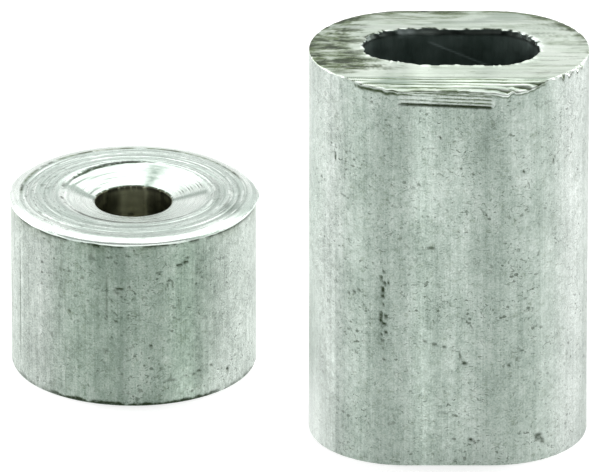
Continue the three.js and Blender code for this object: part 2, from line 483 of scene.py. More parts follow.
def tear_front(g, x, y, lip):
    """The torn break: the sawn end steps down in layers to the lip, which stands a little proud, with
    painted highlight and shade in patches along its crest and a painted shadow under it.
    """
    overhang = np.maximum(np.abs(x) - FERRULE_HALF_FLAT, 0)
    outline = -np.sqrt(np.maximum(FERRULE_R ** 2 - overhang ** 2, 0.01))
    start = BREAK_Y - 0.02 * x + 0.06 * (noise((x + 40) / 89.6, 0 * x, 64, 1, 51, 2) - 0.5)
    width = np.maximum(start - outline, 0.02)
    inside = g.end * (y < start) * (start - outline > 0.03)
    depth = inside * np.clip((start - y) / width, 0, 1)
    across = x / END_SPAN + 0.5
    wobble = noise(across, y, 4, 2.0, 53, 3) - 0.5
    level = (start - y) / BREAK_LAYER + 0.7 * wobble * smooth(0, 0.2, depth)
    part = level - np.floor(level)
    tread = np.clip((np.floor(level) + smooth(0.4, 1.0, part)) * BREAK_LAYER / width, 0, 1)
    even = np.interp(g.along, *zip(*BREAK_HANG))
    hang = even + (lip - even) * smooth(0.55, 0.95, depth)
    g.z -= inside * hang * tread + (g.end - inside) * (g.rho > FERRULE_R - 0.06) * lip
    g.torn = inside * smooth(0.0, 0.05, depth)
    patchy = noise(across, y, 9, 0.17, 57, 2)
    g.band -= 0.25 * g.torn * smooth(0.35, 0.75, noise(across, np.floor(level), 5, 1.0, 62, 1))
    line = window(0.6, 0.85, 0.94, 1.02, part)
    left = smooth(0.3, -1.2, x)
    g.soil += g.torn * line * smooth(0.35, 0.6, patchy) * (0.35 + 0.4 * left)
    g.brown += g.torn * line * smooth(0.2, 0.45, patchy)
    g.band -= 0.16 * g.torn * left
    first = g.end * bump(start, 0.03, y) * (width > 0.25)
    first *= smooth(0.3, 0.5, noise(across, y, 14, 3, 58, 2)) * smooth(-4.2, -3.5, x)
    g.brown += first
    g.soil += 0.4 * first
    lower_left = left * smooth(-4.2, -3.2, x) * smooth(0.5, 0.9, depth)
    g.brown += 0.7 * g.torn * lower_left * smooth(0.35, 0.6, patchy)

    # Painted highlight and shade in patches along the lip's crest.
    crest = (g.skin + g.end) * (g.rho > FERRULE_R - 0.12)
    crest *= bump(g.top - lip, 0.06, g.z) * smooth(0.03, 0.12, lip)
    out = 0.05 * crest * (0.3 + g.ripple(110, 59, 2))
    bright = g.patches(0.42, 0.56, 34, 60, 2)
    g.shine += (0.75 - 0.3 * left) * crest * bright
    g.soil += 0.5 * crest * (1 - bright)
    g.brown += crest * (1 - bright)
    # Painted shadow under the lip, in the olive and soil masks.
    deep = 0.035 + 0.045 * smooth(-2.0, -2.8, x)
    under = g.skin * bump(g.top - lip - 0.08 - deep, deep, g.z)
    under *= smooth(0.03, 0.1, lip) * (0.6 + 0.4 * left)
    g.brown += under
    g.soil += 0.8 * under * smooth(0.25, 0.5, g.ripple(60, 61, 2) + 0.2 * smooth(-2.0, -2.6, x))
    return out, inside


def saw_end(g, x, y, inside, rear):
    """Saw marks straight across the sawn end, and its olive stains."""
    plain = g.end - inside
    across = x / END_SPAN + 0.5
    g.z += 0.014 * plain * (noise(across, y, 3, 0.3, 71, 2) - 0.5)
    smear = noise(across, y, 12, 0.3, 73, 4)
    fine = noise(across, y, 30, 0.12, 75, 2)
    left = smooth(-3.3, -5.0, x) * smooth(-3.2, -1.4, y)
    below_slot = bump(-4.1, 1.5, x) * bump(-1.9, 0.8, y)
    behind = bump(-1.2, 2.6, x) * smooth(2.9, 3.7, y) * 0.55
    corner = bump(4.6, 1.4, x) * smooth(1.0, 2.0, y) * 0.25
    rim = smooth(FERRULE_R - 0.6, FERRULE_R - 0.05, g.rho) * rear
    amount = np.clip(left + 0.95 * below_slot + behind + corner + rim + 0.07, 0, 1)
    stain = smooth(0.62 - 0.36 * amount, 0.71 - 0.27 * amount, 0.75 * smear + 0.25 * fine)
    g.brown += plain * stain * (0.3 + 0.75 * amount)
    heart = np.clip(left + below_slot + 0.8 * rim, 0, 1)
    g.soil += 1.1 * plain * heart * smooth(0.47, 0.62, 0.6 * smear + 0.4 * fine)
    edge_line = smooth(FERRULE_R - 0.28, FERRULE_R - 0.08, g.rho) * rear * bump(-3.4, 2.0, x)
    g.soil += 0.8 * plain * edge_line * smooth(0.35, 0.6, fine)
    grey = smooth(0.46, 0.6, noise(across, y, 6, 0.5, 77, 3)) * smooth(0.2, 2.4, y)
    g.band -= plain * (0.2 * grey + 0.12 * smooth(0.5, 2.6, y) + 0.05 * smooth(-1, -2.5, y))
    lines = smooth(0.64, 0.72, noise(across, y, 9, 0.16, 79, 2)) * smooth(3.0, 4.2, x)
    g.soil += 0.3 * plain * lines


def shine_edges(g, lip):
    """A thin painted highlight, broken in places, along the edge where the end meets the skin,
    thicker at the burr.
    """
    edge = (g.end + g.skin) * (g.rho > FERRULE_R - 0.05) * g.patches(0.3, 0.6, 90, 81, 3)
    burr = window(4.5, 5.0, 7.6, 8.4, g.along)
    thin, thick = bump(g.top - lip + 0.01, 0.035, g.z), bump(g.top - lip, 0.09, g.z)
    g.shine += edge * (thin + 0.8 * burr * thick)


def paint_side_light(g):
    """Painted light and shade: the lengthwise bands, and strips of painted highlight at the left and
    right of the front.
    """
    g.band += bell_sum(g.along, FERRULE_BANDS)
    behind, low = smooth(*HIGHLIGHT_BEHIND, g.along), smooth(12.5, 6.0, g.z)
    # Painted highlight on the left strip, brighter towards the bottom.
    left = g.skin * smooth(HIGHLIGHT_LEFT + 0.04, HIGHLIGHT_LEFT - 0.04, g.along) * behind
    g.band += 0.2 * left * low
    g.shine += (0.12 + 0.4 * low) * left * (0.3 + 0.95 * smooth(-5.8, -7.6, g.along))
    # Painted shade high on the left side.
    g.band -= 0.16 * g.skin * smooth(-5.9, -7.2, g.along) * behind * smooth(6.0, 14.0, g.z)
    # Painted highlight on the right strip.
    g.shine += 0.15 * g.skin * window(HIGHLIGHT_RIGHT, HIGHLIGHT_RIGHT + 0.6, 6.2, 8.6, g.along)
    # Painted shade in a band on the right side.
    g.band -= 0.15 * g.skin * bump(8.0, 1.3, g.along)


def ferrule_surface():
    """The ferrule's surface, its points, and the distance round it at each column."""
    quarter = PERIMETER / 4
    station = stations((0, quarter, BACK_STEP), (quarter, 3 * quarter, FRONT_STEP),
                       (3 * quarter, PERIMETER, BACK_STEP))
    centre, nx, ny = (values[None, :] for values in oval_normals(station))
    g = Surface(ferrule_profile(), station / PERIMETER, PERIMETER / 2 - station)
    g.x = centre + SLOT_R * nx + 0 * g.z
    rear = smooth(-0.2, 0.5, ny)
    lip = hang_lip(g)
    push_mouth(g, rear, smooth(-0.85, -0.2, ny))
    mark_slot(g, rear)
    pits = FERRULE_PITS + scattered(31, 110, (-17, 17), (0.3, 17.3), (0.04, 0.1), (0.08, 0.35))
    pits += scattered(33, 70, (-1.5, 3.2), (5, 15), (0.05, 0.14), (0.08, 0.35))
    pits += scattered(35, 60, (-4.0, -2.2), (0.5, 15), (0.04, 0.1), (0.1, 0.45))
    weather_skin(g, pits, FERRULE_SCRATCHES, 21)
    cut_scar(g)
    x, y = centre + g.rho * nx, g.rho * ny
    out, inside = tear_front(g, x, y, lip)
    saw_end(g, x, y, inside, rear)
    shine_edges(g, lip)
    paint_side_light(g)
    pale_sides(g, 4.0, 6.2)
    return g, np.stack([x + out * nx, y + out * ny, g.z], -1), np.append(station, PERIMETER)


# ---------------- the round stop

STOP_PITS = [
    (2.2, 6.86, 0.17, 0.065, 0.1, 0.9), (2.5, 6.93, 0.13, 0.07, 0.4, 1),
    (2.6, 7.12, 0.12, 0.05, -0.2, 0.6), (-1.66, 7.84, 0.13, 0.08, 0, 0.9),
    (-0.6, 5.82, 0.3, 0.06, 0.25, 0.8), (-0.75, 5.6, 0.2, 0.04, 0.1, 0.5),
    (-0.75, 4.2, 0.06, 0.06, 0, 0.7), (1.65, 6.0, 0.04, 0.35, -0.35, 0.6),
    (-1.9, 7.3, 0.2, 0.3, 0, 0.3), (0.85, 3.0, 0.09, 0.1, 0, 0.7), (0.2, 0.35, 0.08, 0.1, 0, 0.5),
    (-3.0, 4.4, 0.08, 0.08, 0, 0.6), (-1.2, 2.7, 0.14, 0.1, 0.2, 0.45),
    (4.9, 1.0, 0.09, 0.1, 0, 0.9),
]
STOP_SCRATCHES = [
    (-1.2, 5.4, 0.05, 1.4, 0, 0.5), (1.75, 1.2, 0.3, 0.045, 0.05, 0.5),
    (2.4, 1.26, 0.22, 0.045, 0.1, 0.7), (3.05, 1.36, 0.25, 0.045, 0.2, 0.8),
    (3.75, 1.47, 0.25, 0.04, 0.2, 0.6), (-6.55, 4.0, 0.05, 3.6, 0, 0.55),
    (-0.15, 6.6, 0.05, 0.9, 0, 0.25), (4.7, 6.0, 0.035, 1.6, 0, 0.35),
    (-0.45, 5.4, 0.3, 0.035, -0.5, 0.5),
]
# Painted light and shade in lengthwise bands, partly darker oxide: distance along the front, width,
# and how much lighter (or darker, if negative) the skin is.
STOP_BANDS = ((-1.5, 0.5, -0.15), (-0.5, 0.35, -0.26), (0.3, 0.9, -0.05), (0.9, 0.6, -0.1),
              (3.1, 0.2, -0.1), (4.0, 2.0, 0.17), (2.5, 0.8, 0.25), (-4.9, 1.8, 0.03),
              (-4.5, 0.4, -0.06))
# The bore's painted bands of reflected light: angle from +X, width and how bright. FRONT is the angle
# of the front.
FRONT = 1.5 * math.pi
BORE_BANDS = ((1.86, 0.1, 0.4), (1.25, 0.07, 0.5), (1.55, 0.45, 0.8), (FRONT, 0.7, 0.5))
# Radius of the countersink's outer edge by angle from +X.
CONE_EDGE = ((0, 3.6), (1.4, 3.62), (1.9, 3.53), (2.6, 3.3), (3.1, 3.2), (3.52, 3.15), (4.1, 3.25),
             (4.7, 3.3), (5.43, 3.49), (TAU, 3.6))

# Angle between columns behind and in front.
BACK_TURN, FRONT_TURN = 0.0235, 0.0135
# Width of one cut of the countersink's chatter, and of one turn of the end's spiral.
CHATTER, FEED = 0.145, 0.19


def stop_profile():
    """Rows of the profile as (distance from the axis, height, strip name)."""
    top, flat = STOP_TOP, STOP_R - RIM_WIDTH
    cone_foot = top - CONE_DEPTH
    rows = side_rows(BORE_R, "wall", BASE_BREAK, cone_foot - 2.0, 0.6, 0.12)
    rows += side_rows(BORE_R, "wall", cone_foot - 1.9, cone_foot - 0.06, 0.1, 0.08)
    rows += [(BORE_R + 0.004, cone_foot - 0.02, "wall"), (BORE_R + 0.03, cone_foot + 0.006, "end")]
    for r in steps(BORE_R + 0.07, CONE_R, 0.043):
        rows.append((r, cone_foot + CONE_DEPTH * (r - BORE_R) / (CONE_R - BORE_R), "end"))
    rows += face_rows(top, "end", CONE_R + 0.03, flat, 0.03)
    lip = STOP_R + RIM_LIP
    for step in range(1, RIM_STEPS + 1):
        turn = math.pi / 2 * (1 - step / RIM_STEPS)
        out, drop = (lip - flat) * math.cos(turn), RIM_DROP * (1 - math.sin(turn))
        rows.append((flat + out, top - drop, "end"))
    rows += [(lip - 0.01, top - RIM_DROP - 0.05, "end"), (lip - 0.04, top - RIM_DROP - 0.09, "skin")]
    rows += [(STOP_R, top - RIM_DROP - 0.13, "skin")]
    rows += side_rows(STOP_R, "skin", top - RIM_DROP - 0.2, 0.3, 0.1)
    rows += side_rows(STOP_R, "skin", 0.24, BASE_BREAK, 0.05)
    rows += [(STOP_R - 0.02, 0.05, "skin"), (STOP_R - 0.05, 0.015, "foot")]
    rows += [(STOP_R - 0.1, 0, "foot")]
    rows += face_rows(0, "foot", STOP_R - 0.25, BORE_R + 0.12, 0.2)
    rows += [(BORE_R + 0.04, 0.02, "foot")]
    return rows


def turn_face(g, angle):
    """Rings of the turned end, cut in a fine spiral, with bright arcs among them painted as
    highlights and painted shade over the front of the flat, and finer ones in the countersink.

    It returns the mask of the countersink.
    """
    feed = np.abs(np.sin(math.pi * (g.rho / FEED + g.around)))
    uneven = g.rings(7, 0.1, 101, 2) - 0.5
    deep = g.rings(4, 0.22, 103, 1)
    flat = g.end * smooth(CONE_R - 0.05, CONE_R + 0.1, g.rho)
    flat *= smooth(STOP_R - 0.2, STOP_R - 0.4, g.rho)
    groove = smooth(0.66, 0.8, deep)
    front = lobe(angle, FRONT, 0.9)
    g.z += flat * (0.008 * feed + 0.012 * uneven - 0.018 * groove) * (1 - 0.6 * front)
    g.soil += 0.15 * flat * groove
    left = lobe(angle, 3.3, 0.9)
    arcs = g.rings(13, 0.085, 104, 2) + 0.07 * left * bump(4.35, 0.3, g.rho)
    dashes = smooth(0.3, 0.55, g.rings(90, 0.1, 105, 2)) * (1 - 0.6 * front)
    # Painted highlights: bright broken arcs among the rings.
    g.shine += flat * smooth(0.63, 0.7, arcs) * dashes * 0.8
    g.band -= 0.2 * flat * smooth(0.56, 0.72, g.rings(9, 0.11, 106, 2))
    specks = smooth(0.76, 0.84, g.rings(150, 0.08, 111, 1)) * (0.4 + 0.6 * left)
    g.soil += 0.5 * flat * specks
    # Painted shade over the front of the flat.
    g.band -= 0.08 * flat * front
    cone = g.end * smooth(CONE_R - 0.1, CONE_R - 0.3, g.rho) * smooth(BORE_R, BORE_R + 0.06, g.rho)
    g.z += 0.012 * cone * (g.rings(4, 0.1, 107, 2) - 0.5)
    return cone


def facet_cone(g, angle, cone):
    """The countersink's bright sector behind the bore, sharp on the left and combed on the right,
    with painted highlight in it and round it and painted shade beside it.
    """
    tooth = 1 - np.abs((g.rho / CHATTER) % 1 - 0.5) * 2
    right = 0.2 + 0.3 * smooth(0.55, 1.0, tooth) * smooth(2.0, 2.3, g.rho)
    left = 2.75 - 0.15 * (g.rho - 2.6)
    lit_sector = cone * window(right - 0.02, right + 0.04, left - 0.02, left + 0.02, angle)
    cuts = smooth(0.45, 0.75, g.rings(10, 0.09, 108, 2))
    cuts *= 0.3 + 0.7 * smooth(1.5, 2.3, angle)
    hatch = smooth(0.3, 0.7, g.rings(90, 0.12, 119, 2))
    streak = bump(1.22, 0.12 + 0.05 * (g.rho - BORE_R), angle) * (0.75 + 0.25 * hatch)
    # Darker cuts and a grey streak tone down the sector, which also gets a painted highlight.
    g.band -= lit_sector * (0.22 + 0.34 * cuts * (1 - streak) + 0.3 * streak)
    g.shine += 0.5 * lit_sector * (1 - cuts) * (1 - streak)
    shaded = cone * window(left - 0.02, left + 0.02, left + 0.12, left + 0.38, angle)
    shaded += cone * lobe(angle, 0.08, 0.12)
    g.band -= 0.36 * shaded
    spikes = cone * bump(0.34, 0.11, angle) * smooth(0.6, 0.9, tooth) * smooth(2.0, 2.3, g.rho)
    g.soil += 0.95 * spikes
    # Painted highlight over the rest of the countersink.
    g.shine += 0.65 * (cone - lit_sector) * np.clip(1 - shaded, 0, 1)
    # Painted glow at the left and at the right.
    glow = cone * window(2.95, 3.2, 3.6, 4.6, angle)
    glow += cone * lobe(angle, -0.2, 0.16) * bump(2.85, 0.35, g.rho)
    g.shine += 0.75 * glow * smooth(0.35, 0.55, g.rings(12, 0.12, 110, 2))


def tear_cone_edge(g, angle):
    """The edge of the countersink: a torn groove behind and to the left, a thin dark one in front."""
    edge = np.interp(angle, *zip(*CONE_EDGE)) + 0.05 * (g.ripple(60, 109, 3) - 0.5)
    behind = window(1.2, 1.75, 2.25, 2.75, angle)
    front = window(3.5, 3.9, 5.2, 5.8, angle)
    heavy = front * lobe(angle, 4.25, 0.45)
    gap = g.end * bump(edge, 0.05 + 0.05 * behind + 0.04 * front + 0.05 * heavy, g.rho)
    serrated = 0.6 + 0.6 * g.patches(0.4, 0.6, 210, 113, 2)
    thin = (0.45 * front + 0.55 * heavy) * g.patches(0.1, 0.35, 24, 114, 2)
    faint = 0.25 * g.patches(0.45, 0.6, 90, 112, 2)
    strength = np.clip(1.5 * behind * serrated + 1.2 * thin + faint, 0, 1)
    gap = smooth(0.2, 0.75 - 0.2 * behind, gap)
    g.z -= gap * (0.08 * behind + 0.01) * (1 - front)
    g.soil += gap * strength
    g.shine *= 1 - gap * strength
    ridge = g.end * (bump(edge - 0.12, 0.05, g.rho) + bump(edge + 0.12, 0.05, g.rho))
    g.z += 0.02 * ridge * g.ripple(9, 115, 2) * (1 - front)
    # Painted highlights on the ridges either side of the edge.
    lit = ridge * g.patches(0.42, 0.58, 40, 116, 2) * (1 - behind)
    g.shine += 0.8 * lit
    dots = g.end * bump(edge + 0.1, 0.07, g.rho) * bump(3.1, 0.35, angle)
    g.soil += dots * g.patches(0.6, 0.7, 160, 117, 1)
    bore_edge = g.end * smooth(BORE_R + 0.13, BORE_R + 0.05, g.rho)
    back = smooth(-0.1, 0.4, np.sin(angle))
    g.soil += bore_edge * (0.3 + 0.7 * back) * g.patches(0.3, 0.5, 90, 118, 2)
    g.shine *= 1 - bore_edge * back


def roll_rim(g, angle):
    """The crowned rim, worn at the right rear, with a burr on the right, and painted highlights in
    front, behind, at the left and right, and on the worn sector.
    """
    outside = g.end + g.skin
    worn = lobe(angle, 0.6, 0.35)
    rim = smooth(STOP_R - 1.3, STOP_R, g.rho) * smooth(g.top - 0.7, g.top - 0.2, g.z)
    g.z -= outside * 0.07 * worn * rim
    wave = g.ripple(60, 121, 3) - 0.5
    near_lip = outside * bump(g.top - RIM_DROP - 0.06, 0.12, g.z) * (g.rho > STOP_R - 0.05)
    g.rho += near_lip * (0.06 * wave + 0.1 * lobe(angle, 0.02, 0.14))
    g.z += near_lip * 0.1 * wave
    ring = g.end * smooth(STOP_R - 0.44, STOP_R - 0.36, g.rho)
    lines = g.rings(6, 0.07, 123, 2)
    g.z += ring * 0.014 * (lines - 0.5)
    # Painted highlights along the ring, on the worn sector, behind, at the left and in streaks at the
    # right.
    lit = window(2.9, 3.5, 5.5, 6.1, angle)
    worn_sector_highlight = lobe(angle, 0.25, 0.3) * g.end * smooth(4.9, 5.2, g.rho)
    g.shine += 0.5 * ring * lit * smooth(0.2, 0.5, lines) + worn_sector_highlight * smooth(0.35, 0.6, lines)
    behind = window(0.2, 0.5, 3.0, 3.4, angle)
    g.shine += 2 * ring * behind
    wide = g.end * smooth(4.7, 4.9, g.rho) * window(3.0, 3.3, 3.9, 4.4, angle)
    g.shine += 0.85 * wide * smooth(0.4, 0.6, g.rings(9, 0.1, 124, 2))
    streaks = g.end * smooth(4.5, 4.8, g.rho) * lobe(angle, 5.5, 0.16)
    g.shine += 0.8 * streaks * smooth(0.45, 0.6, g.rings(9, 0.1, 126, 2))
    smudge = g.end * smooth(4.3, 4.7, g.rho) * lobe(angle, 5.88, 0.14)
    g.band -= 0.32 * smudge
    back_edge = g.end * bump(STOP_R - RIM_WIDTH - 0.06, 0.06, g.rho) * behind
    g.brown += back_edge * g.patches(0.3, 0.6, 50, 125, 2)
    g.soil += 0.8 * back_edge * g.patches(0.5, 0.62, 60, 127, 2)


def soil_foot(g):
    """Dirt and wear along the stop's foot, with a dark ragged line there, heavier in front and partly
    painted contact shadow, and a thin painted shadow line under its rim.
    """
    wear = g.ripple(130, 141, 3)
    low = g.skin * smooth(0.3, 0.02, g.z)
    g.rho -= low * 0.07 * smooth(0.35, 0.75, wear)
    # A dark ragged line along the foot, heavier in front: dirt, and partly painted contact shadow.
    front = smooth(4.6, 3.4, np.abs(g.along))
    line = g.skin * smooth(0.12 + 0.2 * wear, 0.05 + 0.14 * wear, g.z)
    g.soil += line * (0.4 + 0.6 * front) * smooth(0.2, 0.4, wear + 0.1 * front)
    # Painted shadow: a thin dark line under the rim.
    under = g.skin * smooth(g.top - RIM_DROP - 0.24, g.top - RIM_DROP - 0.14, g.z)
    g.soil += 0.9 * under * g.patches(0.3, 0.55, 90, 143, 2)
    g.brown += 0.25 * g.skin * smooth(7.2, 7.9, g.z) * g.patches(0.4, 0.6, 30, 145, 2)


def mark_bore(g, angle):
    """Faint rings, lengthwise painted bands of reflected light, and dark blotches, denser towards the
    left and right, down the bore.
    """
    g.rho += g.wall * 0.012 * (noise(g.around, g.z, 40, 9, 151, 2) - 0.5)
    sides = smooth(0.75, 1.1, np.abs(about(angle, 1.55)))
    blotch = smooth(0.66 - 0.14 * sides, 0.74 - 0.12 * sides, noise(g.around, g.z, 26, 0.3, 153, 3))
    low = 2 * bump(1.65, 0.07, angle) * bump(g.top - 1.84, 0.07, g.z)
    low += bump(1.18, 0.05, angle) * bump(g.top - 1.7, 0.05, g.z)
    torn_top = smooth(g.top - CONE_DEPTH - 0.22, g.top - CONE_DEPTH - 0.06, g.z)
    torn_top *= g.patches(0.25, 0.45, 80, 156, 2) * 1.2
    g.soil += g.wall * np.clip(0.7 * blotch + low + torn_top, 0, 1)
    rings = 0.75 + 0.5 * noise(g.around, g.z, 12, 0.12, 155, 2)
    g.shine += g.wall * bell_sum(angle, BORE_BANDS) * rings


def stop_surface():
    """The stop's surface, its points, and the distance round it at each column."""
    angle = stations((0, math.pi, BACK_TURN), (math.pi, TAU, FRONT_TURN))
    g = Surface(stop_profile(), angle / TAU, about(angle, FRONT) * STOP_R)
    a = angle[None, :]
    cone = turn_face(g, a)
    facet_cone(g, a, cone)
    tear_cone_edge(g, a)
    roll_rim(g, a)
    pits = STOP_PITS + scattered(137, 100, (-17, 17), (0.3, 7.7), (0.05, 0.1), (0.1, 0.42))
    pits += scattered(139, 90, (-2.2, 1.0), (0.4, 7.7), (0.045, 0.1), (0.15, 0.6))
    weather_skin(g, pits, STOP_SCRATCHES, 131)
    soil_foot(g)
    mark_bore(g, a)
    # Painted shade: a darker band under the rim, left of the front.
    painted_shade_under_rim = 0.13 * bump(-1.0, 1.3, g.along) * smooth(5.3, 7.0, g.z)
    g.band += g.skin * (bell_sum(g.along, STOP_BANDS) - painted_shade_under_rim)
    pale_sides(g, 2.2, 5.0)
    # Painted sheen on the skin towards the left and right sides.
    g.shine += g.skin * (0.13 * smooth(2.4, 4.6, g.along) + 0.08 * smooth(-3.6, -5.4, g.along))
    points = np.stack([g.rho * np.cos(a), g.rho * np.sin(a), g.z], -1)
    return g, points, np.append(angle, TAU) * STOP_R


# ---------------- materials

class Shader:
    """A material with one Principled shader, and short calls for the nodes that drive it."""

    def __init__(self, name):
        self.material = bpy.data.materials.new(name)
        self.material.use_nodes = True
        self.tree = self.material.node_tree
        self.principled = self.tree.nodes["Principled BSDF"]

    def plug(self, socket, value):
        if isinstance(value, bpy.types.NodeSocket):
            self.tree.links.new(value, socket)
        elif value is not None:
            socket.default_value = value

    def fill(self, made, **values):
        """Sets or links a node's sockets by name."""
        for name, value in values.items():
            self.plug(made.inputs[name.replace("_", " ")], value)

    def node(self, kind, *values, **settings):
        """A new node with its settings and the values of its first sockets."""
        made = self.tree.nodes.new("ShaderNode" + kind)
        for key, value in settings.items():
            setattr(made, key, value)
        for socket, value in zip(made.inputs, values):
            self.plug(socket, value)
        return made

    def place(self, scale):
        """Position on the piece in millimetres, times a scale along each axis."""
        coordinates = self.node("TexCoord").outputs["Object"]
        factors = tuple(s / MM for s in scale)
        return self.node("VectorMath", coordinates, factors, operation="MULTIPLY").outputs[0]

    def radius(self, scale, drift):
        """A coordinate that grows with the distance from the axis and drifts a little sideways."""
        away = self.node("VectorMath", self.place((scale, scale, 0)), operation="LENGTH")
        x, y, _ = self.node("SeparateXYZ", self.place((drift, drift, 0))).outputs
        return self.node("CombineXYZ", away.outputs["Value"], x, y).outputs[0]

    def noise(self, where, detail, rough, twist=0.0):
        """Noise at a scale along each axis, in cells per millimetre, or over a vector."""
        made = self.node("TexNoise")
        vector = self.place(where) if isinstance(where, tuple) else where
        self.fill(made, Vector=vector, Scale=1.0, Detail=detail, Roughness=rough, Distortion=twist)
        return made.outputs[0]

    def mask(self, name):
        return self.node("Attribute", attribute_name=name).outputs["Fac"]

    def math(self, operation, a, b=None, c=None):
        return self.node("Math", a, b, c, operation=operation).outputs[0]

    def times(self, a, b):
        return self.math("MULTIPLY", a, b)

    def total(self, start, *terms):
        """start plus each value times its weight."""
        for value, weight in terms:
            start = self.math("MULTIPLY_ADD", value, weight, start)
        return start

    def spread(self, value, low, high, to_low=0.0, to_high=1.0):
        """The value taken smoothly from low..high to to_low..to_high."""
        made = self.node("MapRange", value, low, high, to_low, to_high)
        made.interpolation_type = "SMOOTHSTEP"
        return made.outputs[0]

    def ramp(self, value, *stops):
        made = self.node("ValToRGB", value)
        band = made.color_ramp
        while len(band.elements) < len(stops):
            band.elements.new(0.5)
        for element, (position, colour) in zip(band.elements, stops):
            element.position = position
            element.color = (*colour, 1)
        return made.outputs[0]

    def mix(self, share, a, b, blend="MIX"):
        made = self.node("Mix", data_type="RGBA", blend_type=blend)
        for socket, value in ((made.inputs[0], share), (made.inputs[6], a), (made.inputs[7], b)):
            if isinstance(value, tuple):
                value = (*value, 1)
            self.plug(socket, value)
        return made.outputs[2]

    def finish(self, colour, roughness, height, relief):
        """Plugs in colour and roughness, and height as a bump of so many millimetres."""
        relief_node = self.node("Bump")
        self.fill(relief_node, Strength=1.0, Distance=relief * MM, Height=height)
        self.fill(self.principled, Base_Color=colour, Roughness=roughness, Metallic=1.0,
                  Normal=relief_node.outputs[0])
        return self.material


# Linear colours shared by the materials.
# Dirt, and also painted shadow.
GRIME_AND_SHADE = (0.02, 0.035, 0.012)
OLIVE = (0.096, 0.138, 0.056)
# Duller metal, and also painted shade.
DULL_AND_SHADE = (0.1, 0.15, 0.115)
# Bare metal, and also painted highlights and reflections.
BARE_AND_HIGHLIGHT = (0.89, 0.96, 0.905)


def paint(s, colour, shine):
    """Over a colour, where the piece's masks say: painted light and shade from the band, bare metal
    and painted highlights, painted paler sides, olive stains, then grime and painted shadow.
    """
    band = s.mask("band")
    colour = s.mix(1.0, colour, s.math("MAXIMUM", band, 1.0), "MULTIPLY")
    darker = s.times(s.math("SUBTRACT", 1.0, band), 1.4)
    colour = s.mix(s.math("MAXIMUM", darker, 0.0), colour, DULL_AND_SHADE)
    colour = s.mix(s.times(s.mask("shine"), shine), colour, BARE_AND_HIGHLIGHT)
    less_green = s.total(1.0, (s.mask("pale"), -0.4))
    colour = s.node("HueSaturation", 0.5, less_green, 1.0, 1.0, colour).outputs[0]
    mottled = s.spread(s.noise((2.5, 9, 9), 4, 0.7), 0.35, 0.6, 0.4, 1.0)
    colour = s.mix(s.times(s.mask("brown"), mottled), colour, OLIVE)
    edge = s.spread(s.noise((6, 9, 8), 3, 0.7), 0.3, 0.55, 0.6, 1.05)
    soil = s.times(s.mask("soil"), edge)
    return s.mix(s.math("MINIMUM", soil, 0.95), colour, GRIME_AND_SHADE)


def fleck_mask(s):
    """Dark flecks, dots and short curved scratches, thicker in some places than in others."""
    clusters = s.spread(s.noise((0.6, 0.6, 0.5), 3, 0.6, 0.5), 0.38, 0.62)
    dashes = s.spread(s.noise((5, 5, 9), 3, 0.65, 1.4), 0.6, 0.68)
    dots = s.node("TexVoronoi", feature="F1")
    s.fill(dots, Vector=s.place((2.3, 2.3, 3.1)), Scale=1.0)
    reach = s.spread(s.noise((1.3, 1.3, 1.3), 4, 0.7), 0.4, 0.64, 0.0, 0.28)
    dot = s.spread(s.math("SUBTRACT", reach, dots.outputs["Distance"]), 0.0, 0.07)
    hair = s.math("PINGPONG", s.noise((1.3, 1.3, 1.3), 1, 0.5, 0.8), 0.08)
    hair = s.spread(hair, 0.022, 0.008, 0.0, 0.6)
    some = s.spread(s.noise((2.9, 2.9, 2.9), 2, 0.5), 0.55, 0.63)
    both = s.math("MAXIMUM", s.times(dot, 0.8), s.times(hair, some))
    return s.times(s.math("MAXIMUM", dashes, both), s.total(0.4, (clusters, 0.6)))


def skin_material(name, dark, middle, light):
    """Dull drawn skin: mottled oxide, fine grain, lengthwise lines, dark flecks and painted glints.
    """
    s = Shader(name)
    grain = s.spread(s.noise((12, 12, 12), 2, 0.75), 0.3, 0.7)
    mottle = s.noise((3, 3, 2.6), 5, 0.72)
    cloud = s.noise((0.6, 0.6, 0.3), 4, 0.6)
    streak = s.noise((4.5, 4.5, 0.1), 3, 0.6)
    line = s.noise((15, 15, 0.3), 2, 0.6)
    tone = s.total(-0.5, (mottle, 0.74), (grain, 0.18), (cloud, 0.6), (line, 0.24), (streak, 0.28))
    flecks = fleck_mask(s)
    colour = s.ramp(tone, (0.2, dark), (0.5, middle), (0.8, light))
    # Painted glints.
    glints = s.spread(s.noise((7, 7, 6), 3, 0.7), 0.66, 0.74)
    colour = s.mix(s.times(glints, 0.4), colour, BARE_AND_HIGHLIGHT)
    smudge = s.spread(s.noise((3.4, 3.4, 4.2), 4, 0.75, 0.5), 0.53, 0.68)
    colour = s.mix(s.times(smudge, 0.3), colour, OLIVE)
    colour = s.mix(s.times(flecks, 0.78), colour, GRIME_AND_SHADE)
    colour = paint(s, colour, 0.7)
    rough = s.spread(mottle, 0.3, 0.7, 0.44, 0.58)
    height = s.total(0.0, (line, 0.4), (grain, 0.6), (flecks, -0.7))
    return s.finish(colour, rough, height, 0.012)


